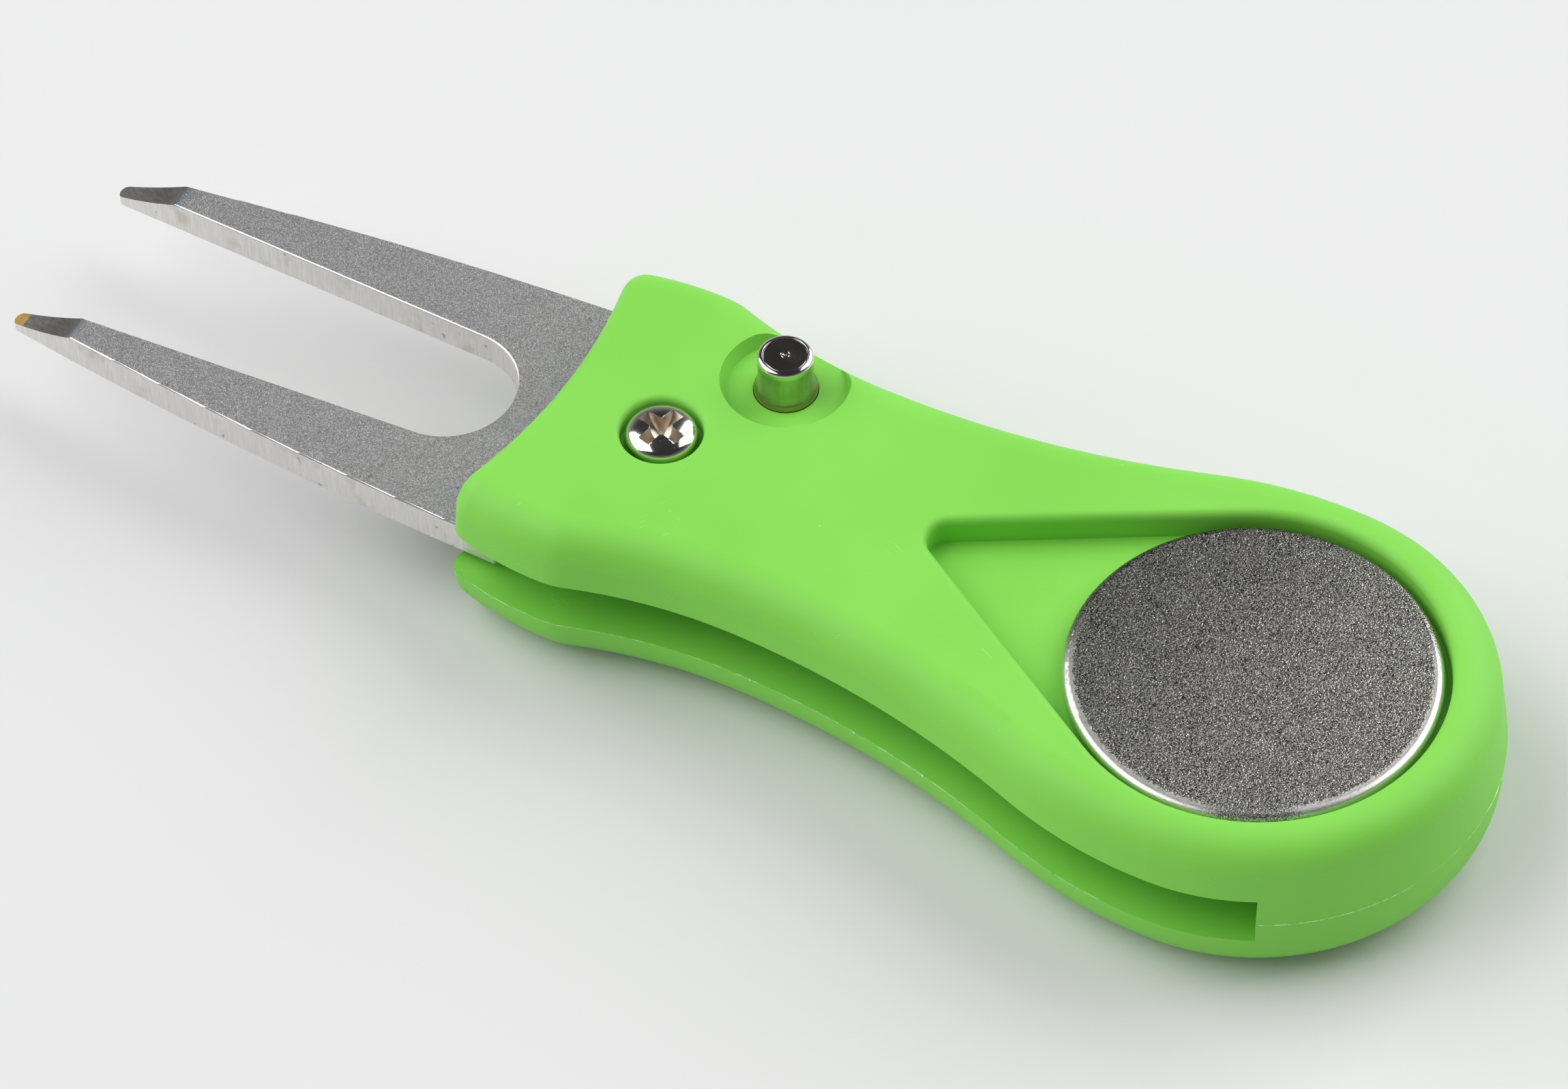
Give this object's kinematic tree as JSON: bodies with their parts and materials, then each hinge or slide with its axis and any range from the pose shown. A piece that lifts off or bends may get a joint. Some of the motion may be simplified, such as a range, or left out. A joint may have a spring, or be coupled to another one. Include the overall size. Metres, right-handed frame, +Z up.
{
  "type": "divot repair tool",
  "caption": "Folding golf divot repair tool: a two-tine steel fork swings out of a split plastic handle with a lock button and a ball marker held by a magnet.",
  "frame": {"origin": "under the middle of the opened tool, on the plane it lies on", "axes": "+X from the tines to the tail of the handle, +Z up through the side with the marker and the button"},
  "size_m": [0.1042, 0.0319, 0.0143],
  "materials": {
    "shell": "fine matt moulded, lime green",
    "shell_lower": "fine matt moulded, lime green",
    "fork_steel": "tumbled stainless steel, blanked sides",
    "nickel": "bright nickel plate",
    "sleeve_steel": "turned",
    "brass": "turned",
    "washer": "natural acetal",
    "spring_wire": "drawn wire",
    "button_nickel": "turned, nickel plate",
    "magnet": "nickel plated magnet",
    "marker_steel": "grained steel disc, bright rim"
  },
  "bodies": {
    "handle": {"top_shell": "shell", "bottom_shell": "shell_lower", "pivot_screw": "nickel", "pivot_sleeve": "sleeve_steel", "threaded_insert": "brass", "upper_washer": "washer", "lower_washer": "washer", "opening_spring": "spring_wire", "button_spring": "spring_wire", "marker_magnet": "magnet"},
    "blade": {"fork": "fork_steel"},
    "button": {"lock_button": "button_nickel"},
    "marker": {"ball_marker": "marker_steel"}
  },
  "joints": [
    {"name": "fork_fold", "type": "hinge", "parent": "handle", "child": "blade", "pos_m": [-0.0063, -0.00075, 0.006], "axis": [0, 0, 1], "range_deg": [0, 178], "stiffness_Nm_per_rad": 0.006, "springref_deg": -114.59, "deforming": ["opening_spring"]},
    {"name": "button_press", "type": "slide", "parent": "handle", "child": "button", "axis": [0, 0, -1], "range_m": [0, 0.0026], "stiffness_N_per_m": 500, "springref_m": -0.003, "deforming": ["button_spring"]},
    {"name": "marker_lift", "type": "slide", "parent": "handle", "child": "marker", "axis": [0, 0, 1], "range_m": [0, 0.008]}
  ]
}
